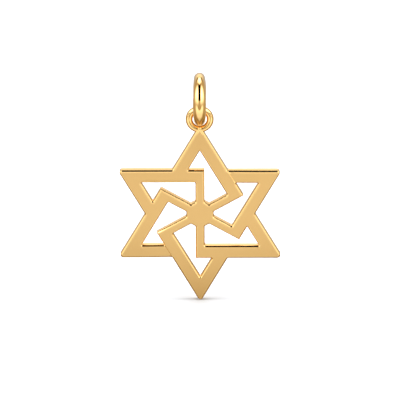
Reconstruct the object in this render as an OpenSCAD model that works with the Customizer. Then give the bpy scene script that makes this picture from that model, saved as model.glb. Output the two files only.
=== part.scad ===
// Star pendant in yellow gold: a flat six-pointed star, cut through as a pinwheel of six bars,
// with a small round-wire ring soldered to its top tip, hanging from a thick round bail.
// All sizes are in millimetres. The star stands upright, with its face towards -Y and its
// mid-plane at y = 0. The origin is the chain's seat: the inside of the bail, at its top.

/* [Star] */
// Distance from the star's middle to the sharp corner of a tip, before the tip is rounded
point_r = 10.86; // [8:0.05:16]
// Thickness of the star
plate_t = 0.85; // [0.6:0.05:1.4]
// Width of the bars along the star's sides
bar_w = 1.54; // [1.1:0.01:2]
// Width of the six spokes that run out from the hub
spoke_w = 1.03; // [0.8:0.01:1.6]
// Width of the six-sided hub between its flats
hub_w = 3.12; // [2.4:0.01:4]
// Rounding of the six tips
tip_r = 0.34; // [0.2:0.01:0.6]
// Rounding in the six notches between the tips
notch_r = 0.24; // [0.1:0.01:0.5]
// Rounding where a spoke meets the hub, and inside each elbow
inner_r = 0.16; // [0.08:0.01:0.3]
// Rounding of the sharp corners: each elbow's outside and each opening's narrow ends
crisp_r = 0.07; // [0.05:0.01:0.15]

/* [Lapped bars] */
// How much nearer to the star's middle the two lapped bars lie than the other bars
lap_shift = 0.09; // [0.05:0.01:0.25]
// How far the face of a lapped bar has dipped where it passes under the next bar
lap_depth = 0.14; // [0.05:0.01:0.25]

/* [Ring] */
// Wire of the ring that is soldered to the star
ring_wire = 0.8; // [0.6:0.05:1.2]
// How far the ring's wire is sunk into the rounded end of the top tip
solder_lap = 0.63; // [0.5:0.01:0.75]
// How far the ring's wire lies behind the middle of the plate's thickness
ring_back = 0.12; // [0:0.01:0.2]

/* [Bail] */
// Height of the bail over its wire
bail_h = 6.0; // [5:0.05:9]
// Wire of the bail at its top and bottom
bail_wire_end = 1.22; // [1:0.01:1.6]
// Wire of the bail at its front and back, where it is thickest
bail_wire_mid = 1.5; // [1.2:0.01:1.8]

/* [Clearances] */
// Play all round between the bail's wire and the ring's hole
ring_play = 0.2; // [0.12:0.01:0.3]
// Gap between the bail's wire and the top of the ring's hole while the star hangs
hang_gap = 0.1; // [0.05:0.01:0.12]

/* [Hidden] */

// Smoothness of true rounds, and the steps of the bail round its loop and round its wire
$fn = 96;
bail_steps = 60;
bail_sides = 20;
// How far the round of a corner stands over the straight sides that it joins, so that they meet
join_lap = 0.0002;

// Distances of a side of the star, and of the inner side of its bar, from the middle
side_out = point_r / 2;
side_in = side_out - bar_w;
// The rounded tip ends short of its sharp corner, which is 60 degrees wide
tip_reach = point_r - tip_r;

// The middle line of the bail's wire is a circle, whose foot is the pivot that the star hangs on
bail_r = (bail_h - bail_wire_end) / 2;
bail_z = bail_wire_end / 2 - bail_r;
bail_foot_z = bail_z - bail_r;

// The ring hangs on the foot of the bail, and the star's top tip is sunk into the ring's wire
ring_hole_r = bail_wire_end / 2 + ring_play;
ring_r = ring_hole_r + ring_wire / 2;
ring_z = bail_foot_z - (ring_play - hang_gap);
star_z = ring_z - (ring_r + ring_wire / 2) + solder_lap - tip_reach;

// The angle from each tip to the next. Tip 0 points up, and the others follow anticlockwise. On
// two opposite tips, 2 and 5, the bar that leaves the tip is lapped by the bar that it runs into.
tip_turn = 60;
function lapped(k) = k % 3 == 2;
function shift(k) = lapped(k) ? lap_shift : 0;

// The vector of length 1 at an angle, and along a vector v
function ray(a) = [cos(a), sin(a)];
function unit(v) = v / norm(v);

// The point where two straight sides meet, each given as [direction of its normal, distance]
function meet(s, t) = let (d = sin(t[0] - s[0]))
    [(s[1] * sin(t[0]) - t[1] * sin(s[0])) / d, (t[1] * cos(s[0]) - s[1] * cos(t[0])) / d];

// The corners of an outline given by its sides, corner i lying between side i and side i + 1
function corners(sides) = [for (i = [0 : len(sides) - 1]) meet(sides[i], sides[(i + 1) % len(sides)])];

// The sides of the whole star, anticlockwise: for each tip, the bar that arrives at the tip and
// the bar that leaves it, as [normal, distance, radius of the corner that ends the side]
star_sides = [for (k = [0 : 5]) let (a = 90 + tip_turn * k) each [
    [a - tip_turn, side_out, tip_r],
    [a + tip_turn, side_out - shift(k), notch_r]
]];

// The sides of the opening in tip k, anticlockwise and in the same form, for the tip turned up
function opening_sides(k) = [
    [150, side_in - shift(k), crisp_r], // inner side of the bar left of the tip
    [90, side_out, crisp_r],            // outer side of the bar that it meets, up to the elbow
    [0, spoke_w / 2, inner_r],          // side of the spoke below that elbow
    [60, hub_w / 2, inner_r],           // flat of the hub
    [120, spoke_w / 2, inner_r],        // side of the next spoke, out to the next elbow
    [30, side_in, crisp_r]              // inner side of the bar right of the tip
];

// A flat shape with the given sides and a true arc at every corner. A corner that points
// outwards is cut off by its chord and filled by a circle; in a corner that points inwards the
// chord fills the corner and a circle is cut out again.
module rounded(sides) {
    n = len(sides);
    c = corners(sides);
    back = [for (i = [0 : n - 1]) unit(c[(i + n - 1) % n] - c[i])];
    ahead = [for (i = [0 : n - 1]) unit(c[(i + 1) % n] - c[i])];
    half = [for (i = [0 : n - 1]) acos(back[i] * ahead[i]) / 2];
    centre = [for (i = [0 : n - 1]) c[i] + unit(back[i] + ahead[i]) * sides[i][2] / sin(half[i])];
    outward = [for (i = [0 : n - 1]) cross(ahead[i], back[i]) > 0];
    difference() {
        union() {
            polygon([for (i = [0 : n - 1], v = [back[i], ahead[i]]) c[i] + v * sides[i][2] / tan(half[i])]);
            for (i = [0 : n - 1]) if (outward[i]) translate(centre[i]) circle(sides[i][2] + join_lap);
        }
        for (i = [0 : n - 1]) if (!outward[i]) translate(centre[i]) circle(sides[i][2] + join_lap);
    }
}

// The star's outline with its six openings
module star_shape() {
    difference() {
        rounded(star_sides);
        for (k = [0 : 5]) rotate(tip_turn * k) rounded(opening_sides(k));
    }
}

// The wedge that lowers the face of a lapped bar, for the bar left of a tip that points up. The
// face starts to dip at the opening's narrow end and is lowest along the bar that laps it.
module lap_wedge() {
    inner = [150, side_in - 2 * lap_shift];
    outer = [150, side_out + lap_shift];
    lapping = [90, side_out];
    start = meet([150, side_in - lap_shift], [30, side_in]);
    low = meet(outer, lapping);
    run = (low - start) * ray(240);
    difference() {
        translate([0, 0, plate_t / 2 - lap_depth]) linear_extrude(2 * lap_depth)
            polygon([start, start + (outer[1] - inner[1]) * ray(150), low, meet(inner, lapping)]);
        translate([start.x, start.y, plate_t / 2]) rotate(240) rotate([0, atan(lap_depth / run), 0])
            translate([-bar_w, -2 * bar_w, -plate_t]) cube([run + 3 * bar_w, 4 * bar_w, plate_t]);
    }
}

// Star plate lying on its back about its own middle, with its face upwards
module plate() {
    difference() {
        translate([0, 0, -plate_t / 2]) linear_extrude(plate_t) star_shape();
        for (k = [0 : 5]) if (lapped(k)) rotate(tip_turn * k) lap_wedge();
    }
}

// Ring of round wire about the Z axis
module wire_ring(loop_r, wire) {
    rotate_extrude() translate([loop_r, 0]) circle(d = wire);
}

// Star: the plate and the ring that is soldered to its top tip, one solid
module star() {
    color([0.87, 0.7, 0.42]) union() {
        translate([0, 0, star_z]) rotate([90, 0, 0]) plate();
        translate([0, ring_back, ring_z]) rotate([90, 0, 0]) wire_ring(ring_r, ring_wire);
    }
}

// Radius of the bail's wire at angle t round its loop, from the front
function bail_wire_r(t) = (bail_wire_end + (bail_wire_mid - bail_wire_end) * pow(cos(t), 2)) / 2;

// Point on the bail's surface at angle t round the loop and angle p round the wire
function bail_point(t, p) = let (d = bail_r + bail_wire_r(t) * cos(p))
    [bail_wire_r(t) * sin(p), -d * cos(t), bail_z + d * sin(t)];

// Bail: a closed loop of tapered wire that stands across the star
module bail() {
    points = [for (i = [0 : bail_steps - 1], j = [0 : bail_sides - 1])
        bail_point(360 * i / bail_steps, 360 * j / bail_sides)];
    function at(i, j) = (i % bail_steps) * bail_sides + j % bail_sides;
    faces = [for (i = [0 : bail_steps - 1], j = [0 : bail_sides - 1]) each [
        [at(i, j), at(i, j + 1), at(i + 1, j + 1)],
        [at(i, j), at(i + 1, j + 1), at(i + 1, j)]
    ]];
    color([0.9, 0.73, 0.42]) polyhedron(points, faces);
}

bail();
star();
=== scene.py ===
"""Six-pointed star pendant of yellow gold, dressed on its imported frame.

Two pieces stand for the two solids. The star is a flat plate, cut through as a pinwheel of bars
and spokes, with a satin face, polished rounded edges and a soldered ring of round wire. The bail
is a thick loop of polished wire. Sizes are in millimetres until a mesh is made, which is in
metres. The plate is worked out lying on its back, with x to the right, y up the star and its
height towards the face, and is then stood up with its face towards -Y.
"""

from __future__ import annotations

import logging
import math
from dataclasses import dataclass, field
from enum import Enum
from typing import Any, Sequence

import bpy
import numpy as np
from mathutils import Matrix, Vector
from mathutils.geometry import delaunay_2d_cdt

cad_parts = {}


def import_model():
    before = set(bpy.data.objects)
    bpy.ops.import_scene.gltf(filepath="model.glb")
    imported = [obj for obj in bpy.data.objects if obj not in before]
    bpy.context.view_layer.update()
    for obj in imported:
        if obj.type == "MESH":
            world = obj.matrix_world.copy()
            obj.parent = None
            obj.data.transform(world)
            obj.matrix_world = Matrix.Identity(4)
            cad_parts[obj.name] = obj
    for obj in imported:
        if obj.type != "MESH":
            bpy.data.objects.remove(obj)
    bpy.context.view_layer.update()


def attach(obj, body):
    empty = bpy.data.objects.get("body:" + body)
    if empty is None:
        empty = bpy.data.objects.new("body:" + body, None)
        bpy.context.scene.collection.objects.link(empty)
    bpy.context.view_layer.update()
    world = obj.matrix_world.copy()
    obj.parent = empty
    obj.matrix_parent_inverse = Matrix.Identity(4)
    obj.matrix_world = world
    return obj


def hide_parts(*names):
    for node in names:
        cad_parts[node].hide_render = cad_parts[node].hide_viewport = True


LOG = logging.getLogger("pendant")
MM = 0.001
TIPS = 6
TIP_TURN = 60.0

Span = tuple[float, float]
Colour = tuple[float, float, float]
Paint = Colour | bpy.types.NodeSocket


class Body(Enum):
    """The moving bodies of the pendant."""

    BAIL = "bail"
    STAR = "star"


class Slot(Enum):
    """Two material slot names, which nothing here uses."""

    POLISHED = "polished_gold"
    SATIN = "satin_gold"


@dataclass(frozen=True)
class Reading:
    """A number socket on a node sheet, which Python's operators carry on as Math nodes."""

    sheet: NodeSheet
    socket: bpy.types.NodeSocket

    def calculate(self, operation: str, *others: Any) -> Reading:
        """Result of one Math node, whose inputs are this value and then others."""
        return self.sheet.calculate(operation, self, *others)

    def __add__(self, other: Any) -> Reading:
        """Sum."""
        return self.calculate("ADD", other)

    def __radd__(self, other: Any) -> Reading:
        """Sum, from the right."""
        return self.sheet.calculate("ADD", other, self)

    def __sub__(self, other: Any) -> Reading:
        """Difference."""
        return self.calculate("SUBTRACT", other)

    def __rsub__(self, other: Any) -> Reading:
        """Difference, from the right."""
        return self.sheet.calculate("SUBTRACT", other, self)

    def __mul__(self, other: Any) -> Reading:
        """Product."""
        return self.calculate("MULTIPLY", other)

    def __rmul__(self, other: Any) -> Reading:
        """Product, from the right."""
        return self.sheet.calculate("MULTIPLY", other, self)

    def __truediv__(self, other: Any) -> Reading:
        """Quotient."""
        return self.calculate("DIVIDE", other)

    def __rtruediv__(self, other: Any) -> Reading:
        """Quotient, from the right."""
        return self.sheet.calculate("DIVIDE", other, self)

    def size(self) -> Reading:
        """Value without its sign."""
        return self.calculate("ABSOLUTE")

    def either(self, other: Any) -> Reading:
        """The larger of two values."""
        return self.calculate("MAXIMUM", other)

    def rise(self, low: float, high: float) -> Reading:
        """Goes smoothly from 0 at low to 1 at high.

        Args:
            low: Value at which the result is 0.
            high: Value at which the result is 1. It may be below low.

        Returns:
            The smooth step, held at 0 and 1 outside.
        """
        inputs = {"Value": self, "From Min": low, "From Max": high}
        made = self.sheet.node("ShaderNodeMapRange", {"interpolation_type": "SMOOTHSTEP"}, inputs)
        return Reading(self.sheet, made.outputs[0])

    def oval(self, other: Reading, width: float, height: float) -> Reading:
        """How far out a point lies, where an oval of these half sizes about 0 is at 1."""
        across, along = self / width, other / height
        return (across * across + along * along).calculate("SQRT")

    def between(self, low: float, high: float, soft: float) -> Reading:
        """1 from low to high and 0 outside, with a fade as wide as soft centred on each end."""
        half = soft / 2
        return self.rise(low - half, low + half) * self.rise(high + half, high - half)


@dataclass(frozen=True)
class NodeSheet:
    """The node tree of a material or of the world, and the one method that adds nodes to it."""

    tree: bpy.types.NodeTree

    def __post_init__(self) -> None:
        """Clears the tree."""
        self.tree.nodes.clear()

    def node(
        self, kind: str, settings: dict[str, Any] | None = None, inputs: dict[Any, Any] | None = None
    ) -> bpy.types.Node:
        """Adds a node.

        Args:
            kind: The node's type.
            settings: Properties of the node, set first.
            inputs: Values, readings or sockets, by the input's name or number.

        Returns:
            The new node.
        """
        made = self.tree.nodes.new(kind)
        for name, value in (settings or {}).items():
            setattr(made, name, value)
        for name, value in (inputs or {}).items():
            target = made.inputs[name]
            source = value.socket if isinstance(value, Reading) else value
            if isinstance(source, bpy.types.NodeSocket):
                self.tree.links.new(source, target)
            else:
                target.default_value = source
        return made

    def calculate(self, operation: str, *terms: Any) -> Reading:
        """Result of one Math node, whose inputs in order are numbers or readings."""
        made = self.node("ShaderNodeMath", {"operation": operation}, dict(enumerate(terms)))
        return Reading(self, made.outputs[0])

    def axes(self, place: bpy.types.NodeSocket) -> list[Reading]:
        """The x, y and z of a position or direction."""
        made = self.node("ShaderNodeSeparateXYZ", {}, {0: place})
        return [Reading(self, socket) for socket in made.outputs]

    def noise(self, where: bpy.types.NodeSocket, grain: float, detail: float = 2.0) -> Reading:
        """Noise from 0 to 1 about 0.5, in clouds of grain millimetres with finer layers added."""
        inputs = {"Vector": where, "Scale": 1 / (grain * MM), "Detail": detail}
        return Reading(self, self.node("ShaderNodeTexNoise", {}, inputs).outputs[0])

    def blend(self, share: Reading, first: Paint, second: Paint) -> bpy.types.NodeSocket:
        """Mixes two colours, which are inputs 6 and 7 of the node and come out as its output 2.

        Args:
            share: 0 gives the first colour and 1 the second.
            first: Colour as red, green and blue, or a socket.
            second: Colour as red, green and blue, or a socket.

        Returns:
            The mixed colour's socket.
        """
        ends = [end if isinstance(end, bpy.types.NodeSocket) else (*end, 1.0) for end in (first, second)]
        made = self.node("ShaderNodeMix", {"data_type": "RGBA"}, {0: share, 6: ends[0], 7: ends[1]})
        return made.outputs[2]

    def finish(self, shader: bpy.types.Node, output: str = "ShaderNodeOutputMaterial") -> None:
        """Leads a shader to the sheet's output."""
        self.node(output, {}, {0: shader.outputs[0]})


def new_material(name: str) -> tuple[bpy.types.Material, NodeSheet]:
    """Makes an empty material.

    Args:
        name: The material's name.

    Returns:
        The material, and the node sheet to fill.
    """
    made = bpy.data.materials.new(name)
    made.use_nodes = True
    return made, NodeSheet(made.node_tree)


@dataclass(frozen=True)
class GoldFinish:
    """Solid yellow gold, from a mirror polish to a fine satin.

    The attribute "polish" on the mesh gives the share of mirror polish at each point, so one
    body can have a satin face and polished edges.
    """

    name: str
    colour: Colour = (0.90, 0.60, 0.245)
    warm_colour: Colour = (0.885, 0.585, 0.235)
    polished_rough: float = 0.05
    satin_rough: float = 0.46
    satin_share: float = 0.88
    cloud_mm: float = 1.1
    cloud_span: Span = (0.3, 0.7)
    cloud_rough_polished: float = 0.01
    cloud_rough_satin: float = 0.03
    grain_mm: float = 0.09
    grain_layers: float = 3.0
    grain_depth_mm: float = 0.0016

    def material(self) -> bpy.types.Material:
        """Makes the material.

        Returns:
            A metal whose colour and roughness drift in faint clouds, with a fine grain in the
            satin areas only.
        """
        made, sheet = new_material(self.name)
        place = sheet.node("ShaderNodeTexCoord").outputs["Object"]
        polish = sheet.node("ShaderNodeAttribute", {"attribute_name": "polish"}).outputs["Fac"]
        clouds = sheet.noise(place, self.cloud_mm)
        grain = sheet.noise(place, self.grain_mm, self.grain_layers)
        satin = 1 - Reading(sheet, polish)
        rough = satin * (self.satin_rough - self.polished_rough) + self.polished_rough
        rough = rough + (clouds - 0.5) * (satin * self.cloud_rough_satin + self.cloud_rough_polished)
        colour = sheet.blend(clouds.rise(*self.cloud_span), self.colour, self.warm_colour)
        dull = tuple(share * self.satin_share for share in self.warm_colour)
        relief = {"Strength": 1.0, "Distance": self.grain_depth_mm * MM, "Height": grain * satin}
        metal = {
            "Base Color": sheet.blend(satin, colour, dull),
            "Metallic": 1.0,
            "Roughness": rough,
            "Normal": sheet.node("ShaderNodeBump", {}, relief).outputs[0],
        }
        sheet.finish(sheet.node("ShaderNodeBsdfPrincipled", {}, metal))
        return made


@dataclass(frozen=True)
class PaperFinish:
    """The plain pale floor's matt white."""

    name: str = "matt_white_paper"
    shade: float = 0.555
    tint: Colour = (1.0, 1.02, 1.05)
    tooth_mm: float = 4.0
    tooth_lift: float = 1.01

    def material(self) -> bpy.types.Material:
        """Makes the material.

        Returns:
            A rough white with a barely visible tooth.
        """
        made, sheet = new_material(self.name)
        tooth = sheet.noise(sheet.node("ShaderNodeTexCoord").outputs["Object"], self.tooth_mm)
        pale = tuple(self.shade * part for part in self.tint)
        paler = tuple(level * self.tooth_lift for level in pale)
        paper = {"Base Color": sheet.blend(tooth, pale, paler), "Roughness": 1.0, "Specular IOR Level": 0.0}
        sheet.finish(sheet.node("ShaderNodeBsdfPrincipled", {}, paper))
        return made


def ray(degrees: np.ndarray) -> np.ndarray:
    """Unit vectors (cos, sin) at angles anticlockwise from the x axis, with a last axis of 2."""
    turn = np.radians(degrees)
    return np.stack([np.cos(turn), np.sin(turn)], axis=-1)


def meet(normal_a: np.ndarray, far_a: np.ndarray, normal_b: np.ndarray, far_b: np.ndarray) -> np.ndarray:
    """Points where pairs of straight sides cross.

    A side is the line p . ray(normal) = far. Two such lines cross at the solution of the 2 by 2
    system, (far_a sin b - far_b sin a, far_b cos a - far_a cos b) / sin(b - a).

    Args:
        normal_a: Directions of the first sides' normals, in degrees.
        far_a: Distances of the first sides from the middle.
        normal_b: Directions of the second sides' normals, in degrees.
        far_b: Distances of the second sides from the middle.

    Returns:
        The crossing points, with a last axis of 2.
    """
    a, b = np.radians(normal_a), np.radians(normal_b)
    top = [far_a * np.sin(b) - far_b * np.sin(a), far_b * np.cos(a) - far_a * np.cos(b)]
    return np.stack(top, axis=-1) / np.sin(b - a)[..., None]


def spin(points: np.ndarray, degrees: float) -> np.ndarray:
    """Points turned anticlockwise about the middle, to (x cos - y sin, x sin + y cos).

    Args:
        points: Points to turn, n by 2.
        degrees: How far they turn.

    Returns:
        The turned points.
    """
    x, y = points[:, 0], points[:, 1]
    cos, sin = ray(np.array(degrees))
    return np.stack([x * cos - y * sin, x * sin + y * cos], axis=-1)


def step(value: np.ndarray, low: float, high: float) -> np.ndarray:
    """Smooth step t * t * (3 - 2 t), where t goes from 0 at low to 1 at high and stays there."""
    t = np.clip((value - low) / (high - low), 0, 1)
    return t * t * (3 - 2 * t)


def rings_to_faces(rings: int, around: int, closed: bool, flip: bool, first: int = 0) -> np.ndarray:
    """Quads of a grid of points whose rows are closed rings.

    Args:
        rings: Number of rings.
        around: Number of points on each ring.
        closed: Whether the last ring is joined to the first.
        flip: Whether the quads are turned over.
        first: Number of the grid's first point.

    Returns:
        Array of quads, four point numbers each.
    """
    i = np.arange(rings if closed else rings - 1)[:, None]
    j = np.arange(around)[None, :]
    here, there = i * around, ((i + 1) % rings) * around
    on = (j + 1) % around
    quads = np.stack([here + j, there + j, there + on, here + on], axis=-1).reshape(-1, 4)
    return first + (quads[:, ::-1] if flip else quads)


def make_object(name: str, points: np.ndarray, faces: list[Sequence[int]]) -> bpy.types.Object:
    """Puts points and faces into a new smooth-shaded object at the origin.

    Args:
        name: The object's name.
        points: Points in millimetres.
        faces: Point numbers of each face.

    Returns:
        The linked object.
    """
    mesh = bpy.data.meshes.new(name)
    mesh.from_pydata((points * MM).tolist(), [], faces)
    mesh.polygons.foreach_set("use_smooth", np.ones(len(mesh.polygons), bool))
    mesh.update()
    made = bpy.data.objects.new(name, mesh)
    bpy.context.scene.collection.objects.link(made)
    return made


def level_sheet(name: str, half: float, z: float) -> bpy.types.Object:
    """A level square sheet about the Z axis, which faces up.

    Args:
        name: The object's name.
        half: Half of the sheet's width.
        z: Its height.

    Returns:
        The sheet.
    """
    x, y = np.meshgrid([-half, half], [-half, half])
    points = np.column_stack([x.ravel(), y.ravel(), np.full(4, z)])
    return make_object(name, points, [(0, 1, 3, 2)])


@dataclass(frozen=True)
class Outline:
    """A closed flat outline of straight sides, anticlockwise, with a true arc at every corner."""

    normals: np.ndarray
    distances: np.ndarray
    radii: np.ndarray
    arc_steps: int = 12
    side_steps: int = 14
    least_r: float = 0.004

    def loop(self, grow: float) -> np.ndarray:
        """Points round the outline once it has grown.

        Every side moves out by grow. A corner's arc is centred where its two sides, moved in by
        its radius, cross; its radius grows at a corner that points outwards and shrinks at one
        that points inwards, and never falls below least_r.

        Args:
            grow: How far the sides move outwards, in millimetres. Below 0 the outline shrinks.

        Returns:
            Points in order, the same number of them for every grow.
        """
        following = np.roll(self.normals, -1)
        turn = (following - self.normals + 180) % 360 - 180
        sign = np.sign(turn)
        radius = np.maximum(self.radii + sign * grow, self.least_r)
        far = self.distances + grow
        far_on = np.roll(far, -1)
        centre = meet(self.normals, far - sign * radius, following, far_on - sign * radius)
        angles = self.normals[:, None] + turn[:, None] * np.linspace(0, 1, self.arc_steps)
        arcs = centre[:, None, :] + (sign * radius)[:, None, None] * ray(angles)
        start, end = arcs[:, -1:, :], np.roll(arcs[:, :1, :], -1, axis=0)
        share = np.linspace(0, 1, self.side_steps + 2)[1:-1][None, :, None]
        sides = start + (end - start) * share
        return np.concatenate([arcs, sides], axis=1).reshape(-1, 2)

    def turned(self, degrees: float) -> Outline:
        """The same outline turned anticlockwise about the middle."""
        return Outline(self.normals + degrees, self.distances, self.radii)


def within(points: np.ndarray, loops: list[np.ndarray]) -> np.ndarray:
    """Whether points lie in the flat region that a loop bounds and other loops are cut out of.

    A line that runs to the right from such a point crosses the loops an odd number of times.

    Args:
        points: Points to test, n by 2.
        loops: Points of the outer loop and of each hole's loop, m by 2.

    Returns:
        One truth value for each point.
    """
    x, y = points[:, 0][:, None], points[:, 1][:, None]
    odd = np.zeros(len(points), bool)
    for loop in loops:
        ax, ay = loop[:, 0][None, :], loop[:, 1][None, :]
        bx, by = np.roll(ax, -1), np.roll(ay, -1)
        spans = (ay > y) != (by > y)
        rise = np.where(by == ay, 1.0, by - ay)
        crosses = spans & (x < ax + (y - ay) * (bx - ax) / rise)
        odd ^= crosses.sum(axis=1) % 2 == 1
    return odd


@dataclass
class StarPlate:
    """The pierced plate of the star, about its own middle.

    Tip 0 points up and the others follow anticlockwise. On the lapped tips the bar that leaves
    the tip dips and passes under the rounded edge of the bar that it runs into.
    """

    point_r: float = 10.86
    thick: float = 0.85
    bar_w: float = 1.54
    spoke_w: float = 1.03
    hub_w: float = 3.12
    tip_r: float = 0.34
    top_tip_r: float = 0.2
    notch_r: float = 0.24
    inner_r: float = 0.16
    crisp_r: float = 0.07
    lap_shift: float = 0.09
    lap_depth: float = 0.09
    lapped_tips: tuple[int, ...] = (2, 5)
    lap_over: float = 1.2
    lap_fade: Span = (0.02, 0.2)
    lap_reach: float = 0.4
    lip_round: float = 0.09
    lip_rows: tuple[float, ...] = (-1.3, -1.0, -0.8, -0.6, -0.4, -0.2, -0.05, 0.0, 0.1, 0.6)
    lip_row_step: float = 0.05
    lip_row_ends: Span = (0.3, 0.1)
    lip_clear: float = 0.25
    lip_clear_ends: Span = (0.5, 0.3)
    edge_round: float = 0.17
    edge_flat: float = 0.4
    edge_steps: int = 9
    back_round: float = 0.08
    back_steps: int = 6
    rim_width: float = 0.13
    rim_rise: float = 0.012
    rim_steps: int = 6
    mesh_step: float = 0.3
    mesh_margin: float = 0.06
    mesh_merge: float = 1e-7
    side_out: float = field(init=False)
    side_in: float = field(init=False)
    rim_inset: float = field(init=False)

    def __post_init__(self) -> None:
        """Works out where the bars' sides and the rim's inner line lie."""
        self.side_out = self.point_r / 2
        self.side_in = self.side_out - self.bar_w
        self.rim_inset = self.edge_round + self.rim_width

    def shift(self, tip: int) -> float:
        """How much nearer to the middle the bar that leaves a tip lies."""
        return self.lap_shift if tip in self.lapped_tips else 0.0

    def star_outline(self) -> Outline:
        """The star's outer outline.

        Returns:
            Two sides for each tip: the bar that arrives at it and the bar that leaves it, each
            as (normal, distance, radius of the corner that ends it).
        """
        sides = [
            side
            for k in range(TIPS)
            for side in (
                (30.0 + TIP_TURN * k, self.side_out, self.tip_r if k else self.top_tip_r),
                (150.0 + TIP_TURN * k, self.side_out - self.shift(k), self.notch_r),
            )
        ]
        return Outline(*np.array(sides).T)

    def opening(self, tip: int) -> Outline:
        """One of the six openings.

        Its sides, for a tip that points up, are the bar that leaves the tip, the elbow of the bar
        that it meets, the spoke below that elbow, the hub's flat, the next spoke, and the bar
        that arrives at the tip.

        Args:
            tip: The tip that the opening lies in.

        Returns:
            The opening's outline, turned to its tip.
        """
        sides = [
            (150.0, self.side_in - self.shift(tip), self.crisp_r),
            (270.0, -self.side_out, self.crisp_r),
            (180.0, -self.spoke_w / 2, self.inner_r),
            (240.0, -self.hub_w / 2, self.inner_r),
            (300.0, -self.spoke_w / 2, self.inner_r),
            (30.0, self.side_in, self.crisp_r),
        ]
        return Outline(*np.array(sides).T).turned(TIP_TURN * tip)

    def profile(self) -> np.ndarray:
        """The section through an edge, from the face round to the back.

        Near the edge the face rises by rim_rise over rim_width, as half a cosine wave, so that a
        fine rim is left by the brush. Then a quarter circle of edge_round turns into the wall,
        flattened towards its chord by edge_flat, and one of back_round turns into the back.

        Returns:
            Rows of (inset from the outline, height).
        """
        top = self.thick / 2
        out = np.linspace(0, 1, self.rim_steps + 1)[:-1]
        rise = self.rim_rise * (1 - np.cos(np.pi * out)) / 2
        face = np.stack([self.rim_inset - self.rim_width * out, top - self.rim_rise + rise], axis=-1)
        turn = np.radians(np.linspace(90, 0, self.edge_steps))
        chord = turn / turn[0]
        inset = (1 - self.edge_flat) * (1 - np.cos(turn)) + self.edge_flat * chord
        drop = (1 - self.edge_flat) * (1 - np.sin(turn)) + self.edge_flat * (1 - chord)
        front = np.stack([self.edge_round * inset, top - self.edge_round * drop], axis=-1)
        turn = np.radians(np.linspace(0, -90, self.back_steps))
        back = self.back_round * np.stack([1 - np.cos(turn), 1 + np.sin(turn)], axis=-1) - [0, top]
        end = np.array([[self.rim_inset, -top]])
        return np.concatenate([face, front, back, end])

    def lap_frame(self, points: np.ndarray, tip: int) -> tuple[np.ndarray, np.ndarray, np.ndarray]:
        """Where points lie with regard to one lap.

        The points are turned back by the tip's angle, so that the lapping bar's outer side is
        the level line at side_out. Along the lapped bar, which leaves the tip downwards, the
        wedge's depth grows evenly from the opening's narrow end to lap_depth, which it has on
        that line just beyond the bar's outer side.

        Args:
            points: Points on the plate.
            tip: One of the lapped tips.

        Returns:
            Distance past the line of the lap, distance out across the lapped bar from the middle,
            and the wedge's depth there.
        """
        local = spin(points, -TIP_TURN * tip)
        leaving, arriving, lapping = (np.array(way) for way in (150.0, 30.0, 90.0))
        start = meet(leaving, np.array(self.side_in - self.lap_shift), arriving, np.array(self.side_in))
        low = meet(leaving, np.array(self.side_out + self.lap_shift), lapping, np.array(self.side_out))
        down = ray(leaving + 90.0)
        run = (low - start) @ down
        depth = self.lap_depth * np.clip((local - start) @ down / run, 0, self.lap_over)
        return local[:, 1] - self.side_out, local @ ray(leaving), depth

    def dip(self, points: np.ndarray) -> np.ndarray:
        """How far the face lies lower at points, for the lapped bars.

        Past the line of a lap the face of the lower bar has dipped by the wedge's depth. Short of
        it the upper bar's edge is rounded over: a quarter circle of lip_round, no deeper than the
        lower bar's face, which fades out beside the lower bar.

        Args:
            points: Points on the plate.

        Returns:
            One depth for each point, in millimetres.
        """
        total = np.zeros(len(points))
        near, far = self.lap_fade
        inner = self.side_in - self.lap_shift
        outer = self.side_out - self.lap_shift
        for tip in self.lapped_tips:
            past, across, depth = self.lap_frame(points, tip)
            on_bar = across > self.side_in - self.lap_reach
            width = step(across, inner - far, inner - near) * (1 - step(across, outer - near, outer + far))
            edge = np.clip(1 + past / self.lip_round, 0, 1)
            lip = self.lip_round * (1 - np.sqrt(1 - edge**2))
            lower = np.where(past > 0, depth, np.minimum(lip, depth) * width)
            total = np.maximum(total, np.where(on_bar & (past > -self.lip_round), lower, 0))
        return total

    def lap_lines(self, tip: int) -> list[np.ndarray]:
        """Rows of points that follow one lap, closest where the upper bar's edge turns over.

        Args:
            tip: One of the lapped tips.

        Returns:
            The rows, each from the lapped bar's inner side to its outer side.
        """
        before, beyond = self.lip_row_ends
        across = np.arange(self.side_in - before, self.side_out + beyond, self.lip_row_step)
        leaving, lapping = np.full_like(across, 150.0), np.full_like(across, 90.0)
        rows = [meet(leaving, across, lapping, self.side_out + self.lip_round * row) for row in self.lip_rows]
        return [spin(row, TIP_TURN * tip) for row in rows]

    def face_points(self, loops: list[np.ndarray]) -> tuple[np.ndarray, np.ndarray]:
        """Points within the face, and the rows of them that stay joined.

        An even grid of points covers the face, apart from a strip along each lap, where the lap's
        own rows take its place.

        Args:
            loops: The face's outer loop and the openings' loops.

        Returns:
            Points, and pairs of point numbers along each lap.
        """
        line = np.arange(-self.point_r, self.point_r, self.mesh_step)
        x, y = np.meshgrid(line, line)
        spread = np.stack([x.ravel(), y.ravel()], axis=-1)
        lines = []
        before, beyond = self.lip_clear_ends
        for tip in self.lapped_tips:
            past, across, _ = self.lap_frame(spread, tip)
            at_bar = (across > self.side_in - before) & (across < self.side_out + beyond)
            spread = spread[~(at_bar & (np.abs(past) < self.lip_clear))]
            lines += self.lap_lines(tip)
        clear = within(spread, loops)
        points, pairs, count = [spread[clear]], [], int(clear.sum())
        for line in lines:
            kept = within(line, loops)
            number = count + np.cumsum(kept) - 1
            joined = kept[:-1] & kept[1:]
            points.append(line[kept])
            pairs.append(np.stack([number[:-1], number[1:]], axis=-1)[joined])
            count += int(kept.sum())
        return np.concatenate(points), np.concatenate(pairs)

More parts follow.
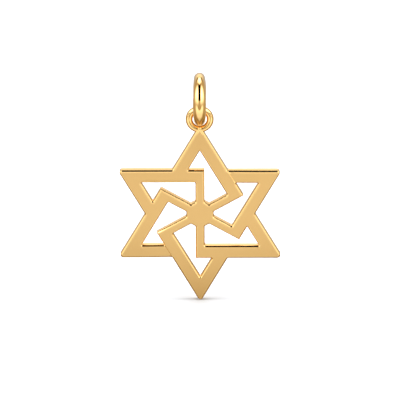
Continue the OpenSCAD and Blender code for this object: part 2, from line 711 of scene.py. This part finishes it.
    def fill(self, loops: list[np.ndarray]) -> tuple[np.ndarray, np.ndarray]:
        """Triangles of the flat region inside the first loop and outside the others.

        Args:
            loops: The outer loop and the openings' loops.

        Returns:
            Extra points within the region, and triangles by point number, which count the loops'
            points first and then the extra ones.
        """
        inset = self.rim_inset + self.mesh_margin
        inner = [self.star_outline().loop(-inset)] + [self.opening(k).loop(inset) for k in range(TIPS)]
        extra, pairs = self.face_points(inner)
        edges, first = [], 0
        for loop in loops:
            number = np.arange(len(loop))
            edges.append(first + np.stack([number, np.roll(number, -1)], axis=-1))
            first += len(loop)
        edges.append(pairs + first)
        points = np.concatenate([*loops, extra])
        places = [Vector(p) for p in points.tolist()]
        # Option 0 fills the points' whole hull with triangles, and True tells which points they use
        sheet = delaunay_2d_cdt(places, np.concatenate(edges).tolist(), [], 0, self.mesh_merge, True)
        source = np.array([ids[0] for ids in sheet[3]])
        triangles = source[np.array(sheet[2])]
        middle = points[triangles].mean(axis=1)
        return extra, triangles[within(middle, loops)]

    def surface(self) -> tuple[np.ndarray, list[Sequence[int]]]:
        """The plate's closed surface.

        For every loop, the profile is carried round it: ring j is the loop grown by the j-th inset,
        at the j-th height. The first and last rings bound the face and the back, which are filled
        with triangles. Then the points are lowered at the laps, in full down to a quarter of the
        thickness above the middle and less and less from there to a quarter below it.

        Returns:
            Points with their height as the third number, and faces.
        """
        profile = self.profile()
        shapes = [(self.star_outline(), -1.0)] + [(self.opening(k), 1.0) for k in range(TIPS)]
        points, faces, first = [], [], 0
        for shape, way in shapes:
            rings = np.stack([shape.loop(way * inset) for inset, _ in profile])
            height = np.broadcast_to(profile[:, 1][:, None, None], (*rings.shape[:2], 1))
            points.append(np.concatenate([rings, height], axis=-1).reshape(-1, 3))
            faces += rings_to_faces(len(profile), rings.shape[1], False, way > 0, first).tolist()
            first += rings.shape[0] * rings.shape[1]
        loops = [shape.loop(way * self.rim_inset) for shape, way in shapes]
        extra, triangles = self.fill(loops)
        sizes = [len(loop) for loop in loops]
        starts = np.cumsum([0] + [n * len(profile) for n in sizes])
        top = np.concatenate([starts[i] + np.arange(n) for i, n in enumerate(sizes)])
        last = len(profile) - 1
        under = np.concatenate([starts[i] + last * n + np.arange(n) for i, n in enumerate(sizes)])
        own = first + np.arange(len(extra))
        faces += np.concatenate([top, own])[triangles].tolist()
        faces += np.concatenate([under, own + len(extra)])[triangles[:, ::-1]].tolist()
        levels = (self.thick / 2 - self.rim_rise, -self.thick / 2)
        points += [np.column_stack([extra, np.full(len(extra), level)]) for level in levels]
        whole = np.concatenate(points)
        share = np.clip((whole[:, 2] + self.thick / 4) / (self.thick / 2), 0, 1)
        whole[:, 2] -= self.dip(whole[:, :2]) * share
        return whole, faces


@dataclass
class Star:
    """The star as worn: the plate and the ring soldered to its top tip, one body of metal."""

    plate: StarPlate = field(default_factory=StarPlate)
    middle_z: float = -15.77
    ring_z: float = -4.27
    ring_r: float = 1.21
    ring_wire: float = 0.79
    ring_back: float = 0.12
    ring_margin: float = 0.001
    finish: GoldFinish = GoldFinish("satin_face_gold")
    steps: tuple[int, int] = (144, 48)
    crease_degrees: float = 50.0
    shading_weight: int = 60
    polish_tilt: Span = (6.0, 14.0)
    polish_up: float = 6.0
    least_sine: float = 0.01

    def ring(self) -> bpy.types.Object:
        """The ring's own closed surface.

        A point at angle a round the ring and b round the wire is (d sin a, w sin b, d cos a) from
        the ring's middle, where w is the wire's radius and d = ring_r + w cos b.

        Returns:
            The ring as an object.
        """
        wire = self.ring_wire / 2
        a = np.linspace(0, 2 * np.pi, self.steps[0], endpoint=False)[:, None]
        b = np.linspace(0, 2 * np.pi, self.steps[1], endpoint=False)[None, :]
        d = self.ring_r + wire * np.cos(b)
        depth = self.ring_back + wire * np.sin(b) + 0 * a
        points = np.stack([d * np.sin(a), depth, self.ring_z + d * np.cos(a)], axis=-1).reshape(-1, 3)
        return make_object("ring_part", points, rings_to_faces(*self.steps, True, True).tolist())

    def build(self) -> bpy.types.Object:
        """Makes the star, fuses the ring to it and dresses it.

        Returns:
            The finished piece, riding on its body.
        """
        flat, faces = self.plate.surface()
        upright = np.column_stack([flat[:, 0], -flat[:, 2], flat[:, 1] + self.middle_z])
        made = make_object("star_piece", upright, faces)
        ring = self.ring()
        joint = made.modifiers.new("solder", "BOOLEAN")
        joint.operation = "UNION"
        joint.object = ring
        joint.solver = "EXACT"
        fused = bpy.data.meshes.new_from_object(made.evaluated_get(bpy.context.evaluated_depsgraph_get()))
        made.modifiers.clear()
        made.data = fused
        bpy.data.objects.remove(ring)
        fused.polygons.foreach_set("use_smooth", np.ones(len(fused.polygons), bool))
        fused.set_sharp_from_angle(angle=math.radians(self.crease_degrees))
        self.polish(fused)
        even = made.modifiers.new("even_shading", "WEIGHTED_NORMAL")
        even.keep_sharp = True
        even.weight = self.shading_weight
        fused.materials.clear()
        fused.materials.append(self.finish.material())
        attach(made, Body.STAR.value)
        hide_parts("star")
        return made

    def polish(self, mesh: bpy.types.Mesh) -> None:
        """Writes the share of mirror polish at each point.

        It is 0 on the flat face and back, where a point's normal is within a few degrees of the
        Y axis, and 1 on the ring and wherever the normal has tilted past polish_tilt. On an edge
        that looks up, the satin runs on for polish_up degrees more, and on one that looks down
        it stops as much earlier.

        Args:
            mesh: The star's mesh.
        """
        count = len(mesh.vertices)
        normal, place = np.zeros(count * 3, np.float32), np.zeros(count * 3, np.float32)
        mesh.vertices.foreach_get("normal", normal)
        mesh.vertices.foreach_get("co", place)
        normal, place = normal.reshape(-1, 3), place.reshape(-1, 3) / MM
        tilt = np.degrees(np.arccos(np.clip(np.abs(normal[:, 1]), 0, 1)))
        apart = np.hypot(place[:, 0], place[:, 2] - self.ring_z)
        on_ring = apart < self.ring_r + self.ring_wire / 2 + self.ring_margin
        facing_up = normal[:, 2] / np.maximum(np.sin(np.radians(tilt)), self.least_sine)
        share = np.where(on_ring, 1.0, step(tilt - self.polish_up * facing_up, *self.polish_tilt))
        mesh.attributes.new("polish", "FLOAT", "POINT").data.foreach_set("value", share.astype(np.float32))


@dataclass
class Bail:
    """The thick loop of tapered wire that carries the star and takes the chain."""

    height: float = 6.0
    wire_end: float = 1.22
    wire_mid: float = 1.5
    finish: GoldFinish = GoldFinish("polished_bail_gold")
    steps: tuple[int, int] = (216, 72)

    def surface(self) -> np.ndarray:
        """Points of the bail.

        At angle t round the loop from its front, the wire's radius w grows from the ends to the
        middle as the square of cos t. A point at angle p round the wire is w sin p sideways and
        d = r + w cos p from the loop's middle, at (-d cos t, d sin t) towards the back and up.

        Returns:
            Grid of points, the loop's angle first.
        """
        loop_r = (self.height - self.wire_end) / 2
        middle = self.wire_end / 2 - loop_r
        t = np.linspace(0, 2 * np.pi, self.steps[0], endpoint=False)[:, None]
        p = np.linspace(0, 2 * np.pi, self.steps[1], endpoint=False)[None, :]
        wire = (self.wire_end + (self.wire_mid - self.wire_end) * np.cos(t) ** 2) / 2
        d = loop_r + wire * np.cos(p)
        return np.stack([wire * np.sin(p), -d * np.cos(t), middle + d * np.sin(t)], axis=-1)

    def build(self) -> bpy.types.Object:
        """Makes and dresses the bail.

        Returns:
            The finished piece, riding on its body.
        """
        faces = rings_to_faces(*self.steps, True, True)
        made = make_object("bail_piece", self.surface().reshape(-1, 3), faces.tolist())
        share = np.ones(len(made.data.vertices), np.float32)
        made.data.attributes.new("polish", "FLOAT", "POINT").data.foreach_set("value", share)
        made.data.materials.append(self.finish.material())
        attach(made, Body.BAIL.value)
        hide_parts("bail")
        return made


@dataclass(frozen=True)
class Tent:
    """The light tent round the pendant, as brightness by direction.

    Directions are in degrees: aside, round from the front on either side, and up. A span gives
    where something is 0 and where it is full, so (88, 48) makes it fade upwards. But gap_up,
    corner_aside and corner_up are bands, an oval is a half width and a half height, and its edge
    is in shares of those. What lies across is measured on the direction's unit vector.
    """

    gap_half: float = 0.34
    gap_edge: float = 0.02
    gap_up: Span = (17.0, 84.0)
    gap_soft: float = 6.0
    gap_front: Span = (100.0, 80.0)
    wall_glow: float = 3.0
    wall_across: Span = (0.03, 0.62)
    wall_aside: Span = (116.0, 62.0)
    wall_foot: Span = (-14.0, 38.0)
    wall_top: Span = (88.0, 48.0)
    panel_glow: float = 3.2
    panel_aside: Span = (110.0, 165.0)
    panel_foot: Span = (38.0, 58.0)
    panel_top: Span = (94.0, 68.0)
    back_aside: Span = (130.0, 165.0)
    back_top: Span = (46.0, 34.0)
    back_low: Span = (-8.0, 8.0)
    back_low_glow: float = 0.3
    back_high: Span = (12.0, 22.0)
    back_high_glow: float = 0.5
    plain_glow: float = 0.58
    plain_top: Span = (88.0, 60.0)
    plain_aside: Span = (80.0, 120.0)
    stand_oval: Span = (36.0, 27.0)
    stand_edge: Span = (0.8, 1.15)
    apron_oval: Span = (66.0, 84.0)
    apron_edge: Span = (1.2, 0.8)
    apron_top: Span = (-2.0, -16.0)
    apron_glow: float = 1.06
    apron_fall: Span = (-20.0, -48.0)
    apron_loss: float = 0.41
    corner_aside: Span = (132.0, 158.0)
    corner_aside_soft: float = 14.0
    corner_up: Span = (32.0, 48.0)
    corner_up_soft: float = 8.0
    corner_loss: float = 0.8
    under_aside: Span = (60.0, 100.0)
    under_fall: Span = (-30.0, -46.0)
    under_loss: float = 0.5
    foot_fall: Span = (-54.0, -68.0)
    foot_loss: float = 0.2
    warm: Colour = (1.0, 0.7, 0.26)
    white: Colour = (1.0, 1.0, 1.0)
    warm_until: Span = (0.0, 1.2)
    cool: Colour = (1.0, 0.98, 1.0)
    cool_aside: Span = (120.0, 160.0)
    cool_up: Span = (-40.0, -12.0)

    def glow(self, aside: Reading, up: Reading, across: Reading) -> Reading:
        """Brightness of the tent by direction.

        A tall dark gap stands straight in front, and a soft wall on each side of it, brightest
        about 60 degrees aside and 40 up. A bright panel lies overhead, towards the back, with a
        pale wall below it and darker corners between them. In front and below, a pale apron shows
        round the dark oval of the camera's stand, and it is darker underneath and at the sides.

        Args:
            aside: Degrees round from the front, on either side.
            up: Degrees above the horizon.
            across: How far to either side the direction's unit vector reaches.

        Returns:
            Brightness, about 1 for white paper.
        """
        walls = across.rise(*self.wall_across) * aside.rise(*self.wall_aside)
        walls = walls * up.rise(*self.wall_foot) * up.rise(*self.wall_top) * self.wall_glow
        panel = aside.rise(*self.panel_aside) * up.rise(*self.panel_foot) * up.rise(*self.panel_top)
        panel = panel * self.panel_glow
        low = up.rise(*self.back_low) * self.back_low_glow
        high = up.rise(*self.back_high) * self.back_high_glow
        back = aside.rise(*self.back_aside) * up.rise(*self.back_top) * (low + high)
        plain = self.plain_glow * up.rise(*self.plain_top).either(aside.rise(*self.plain_aside))
        stand = aside.oval(up, *self.stand_oval).rise(*self.stand_edge)
        apron = stand * aside.oval(up, *self.apron_oval).rise(*self.apron_edge) * up.rise(*self.apron_top)
        apron = apron * (self.apron_glow - up.rise(*self.apron_fall) * self.apron_loss)
        corner = aside.between(*self.corner_aside, self.corner_aside_soft)
        corner = 1 - corner * up.between(*self.corner_up, self.corner_up_soft) * self.corner_loss
        under = 1 - aside.rise(*self.under_aside) * up.rise(*self.under_fall) * self.under_loss
        under = under * (1 - up.rise(*self.foot_fall) * self.foot_loss)
        gap = across.rise(self.gap_half + self.gap_edge, self.gap_half - self.gap_edge)
        gap = gap * up.between(*self.gap_up, self.gap_soft) * aside.rise(*self.gap_front)
        return (walls + panel + back + plain + apron) * corner * under * (1 - gap)

    def paint(self, sheet: NodeSheet, way: Sequence[Reading]) -> tuple[bpy.types.NodeSocket, Reading]:
        """Colour and brightness of the tent by direction, warmer where it is dim.

        Args:
            sheet: The node sheet in use.
            way: The direction's unit vector, to the right, away from the front and up.

        Returns:
            The colour's socket and the brightness.
        """
        x, y, z = way
        degrees = 180 / math.pi
        up = z.calculate("ARCSINE") * degrees
        aside = (x.calculate("ARCTAN2", y * -1.0) * degrees).size()
        glow = self.glow(aside, up, x.size())
        colour = sheet.blend(glow.rise(*self.warm_until), self.warm, self.white)
        behind = aside.rise(*self.cool_aside) * up.rise(*self.cool_up)
        return sheet.blend(behind, colour, self.cool), glow

    def build(self) -> bpy.types.World:
        """Makes the tent the scene's world.

        Returns:
            The world.
        """
        world = bpy.data.worlds.new("light_tent")
        world.use_nodes = True
        bpy.context.scene.world = world
        sheet = NodeSheet(world.node_tree)
        colour, glow = self.paint(sheet, sheet.axes(sheet.node("ShaderNodeTexCoord").outputs["Generated"]))
        light = sheet.node("ShaderNodeBackground", {}, {"Color": colour, "Strength": glow})
        sheet.finish(light, "ShaderNodeOutputWorld")
        return world


@dataclass
class Studio:
    """A pale floor in the light tent, with the camera at the photograph's angle."""

    tent: Tent = Tent()
    paper: PaperFinish = PaperFinish()
    floor_z: float = -26.37
    floor_half: float = 4000.0
    table_half: float = 3000.0
    table_drop: float = 0.05
    bail_height: float = 24.0
    flag_z: float = -1.5
    flag_half: float = 19.0
    flag_rows: tuple[float, ...] = (-19.0, -3.0, 1.5, 7.0)
    flag_near: float = 8.4
    flag_soft: float = 0.2
    backdrop_r: float = 6000.0
    backdrop_steps: tuple[int, int] = (25, 48)
    backdrop_pole: float = 89.9
    lamp_z: float = 600.0
    lamp_wide: float = 200.0
    lamp_watts: float = 4.6
    azimuth: float = 0.3
    elevation: float = 22.0
    lean: float = 0.25
    aim_z: float = -14.16
    frame_mm: float = 45.66
    lens: float = 1000.0
    sensor: float = 36.0
    clip_shares: Span = (0.1, 20.0)

    def floor(self) -> bpy.types.Object:
        """The plain pale floor, just below the star's lowest point.

        Returns:
            The floor.
        """
        made = level_sheet("floor", self.floor_half, self.floor_z)
        made.data.materials.append(self.paper.material())
        made.visible_glossy = False
        return made

    def table(self) -> bpy.types.Object:
        """The table's own shine, which only polished and satin metal reflects.

        It lies just under the floor. A point on it is as bright as the tent's lower half in the
        direction in which the bail, bail_height above it, sees that point.

        Returns:
            The table.
        """
        made = level_sheet("table", self.table_half, self.floor_z - self.table_drop)
        shine, sheet = new_material("table_shine")
        place = sheet.axes(sheet.node("ShaderNodeTexCoord").outputs["Object"])
        x, y = (axis / MM for axis in place[:2])
        drop = -self.bail_height
        far = (x * x + y * y + drop * drop).calculate("SQRT")
        colour, glow = self.tent.paint(sheet, [x / far, y / far, drop / far])
        sheet.finish(sheet.node("ShaderNodeEmission", {}, {"Color": colour, "Strength": glow}))
        made.data.materials.append(shine)
        made.visible_camera = made.visible_diffuse = made.visible_shadow = False
        return made

    def flag(self) -> bpy.types.Object:
        """Two black cards above the star, which keep the walls' light off its upward edges.

        One lies in front of the pendant and one behind it. Their upper sides are clear, so that
        the bail sees the table through them. They are clear as well for what is nearer to them
        than flag_near, so that the ring sees the tent.

        Returns:
            The cards as one object.
        """
        x, y = np.meshgrid([-self.flag_half, self.flag_half], self.flag_rows)
        points = np.column_stack([x.ravel(), y.ravel(), np.full(x.size, self.flag_z)])
        made = make_object("flag", points, [(0, 2, 3, 1), (4, 6, 7, 5)])
        card, sheet = new_material("flag_card")
        back = Reading(sheet, sheet.node("ShaderNodeNewGeometry").outputs["Backfacing"])
        away = Reading(sheet, sheet.node("ShaderNodeLightPath").outputs["Ray Length"]) / MM
        see_through = back.either(away.rise(self.flag_near + self.flag_soft, self.flag_near - self.flag_soft))
        clear = sheet.node("ShaderNodeBsdfTransparent")
        black = sheet.node("ShaderNodeEmission", {}, {"Color": (0, 0, 0, 1), "Strength": 0.0})
        sides = {0: see_through, 1: black.outputs[0], 2: clear.outputs[0]}
        sheet.finish(sheet.node("ShaderNodeMixShader", {}, sides))
        made.data.materials.append(card)
        made.visible_camera = made.visible_diffuse = made.visible_shadow = False
        return made

    def backdrop(self) -> bpy.types.Object:
        """A white sphere far round everything, which only the camera sees.

        A point at angle a round and b up is r (cos b cos a, cos b sin a, sin b).

        Returns:
            The backdrop.
        """
        rings, around = self.backdrop_steps
        a = np.linspace(0, 2 * np.pi, around, endpoint=False)[None, :]
        b = np.radians(np.linspace(-self.backdrop_pole, self.backdrop_pole, rings))[:, None]
        level = np.cos(b)
        points = np.stack([level * np.cos(a), level * np.sin(a), np.sin(b) + 0 * a], axis=-1).reshape(-1, 3)
        faces = rings_to_faces(rings, around, False, True).tolist()
        last = (rings - 1) * around
        faces += [list(range(around)), list(range(last, last + around))[::-1]]
        made = make_object("backdrop", points * self.backdrop_r, faces)
        paint, sheet = new_material("backdrop_white")
        sheet.finish(sheet.node("ShaderNodeEmission", {}, {"Color": (1, 1, 1, 1), "Strength": 1.0}))
        made.data.materials.append(paint)
        made.visible_diffuse = made.visible_glossy = made.visible_transmission = False
        made.visible_shadow = made.visible_volume_scatter = False
        return made

    def overhead(self) -> bpy.types.Object:
        """A soft round lamp high above, which grounds the star on the floor.

        Returns:
            The lamp.
        """
        lamp = bpy.data.lights.new("overhead", "AREA")
        lamp.shape = "DISK"
        lamp.size = self.lamp_wide * MM
        lamp.energy = self.lamp_watts
        made = bpy.data.objects.new("overhead", lamp)
        made.location = (0, 0, self.lamp_z * MM)
        made.visible_glossy = False
        bpy.context.scene.collection.objects.link(made)
        return made

    def camera(self) -> bpy.types.Object:
        """A long lens at the photograph's angle, turned and leaned as little as the photograph is.

        Returns:
            The camera, set as the scene's.
        """
        eye = bpy.data.cameras.new("camera")
        eye.sensor_width = self.sensor
        eye.lens = self.lens
        away = self.frame_mm * self.lens / eye.sensor_width * MM
        eye.clip_start, eye.clip_end = (away * share for share in self.clip_shares)
        made = bpy.data.objects.new("camera", eye)
        bpy.context.scene.collection.objects.link(made)
        aim = Matrix.Translation(Vector((0, 0, self.aim_z)) * MM)
        aside = Matrix.Rotation(math.radians(self.azimuth), 4, "Z")
        raised = Matrix.Rotation(math.radians(90) - math.radians(self.elevation), 4, "X")
        leaning = Matrix.Rotation(math.radians(-self.lean), 4, "Z")
        made.matrix_world = aim @ aside @ raised @ leaning @ Matrix.Translation((0, 0, away))
        bpy.context.scene.camera = made
        return made

    def build(self) -> None:
        """Sets up floor, light and camera."""
        self.floor()
        self.table()
        self.flag()
        self.tent.build()
        self.backdrop()
        self.overhead()
        self.camera()
        view = bpy.context.scene.view_settings
        view.view_transform = "Standard"
        view.look = "None"


def main() -> None:
    """Builds the pendant on its frame and sets up the studio."""
    logging.basicConfig(level=logging.INFO, format="%(message)s")
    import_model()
    for part in (Bail(), Star()):
        made = part.build()
        LOG.info("%s: %d points, %d faces", made.name, len(made.data.vertices), len(made.data.polygons))
    Studio().build()


if __name__ == "__main__":
    main()
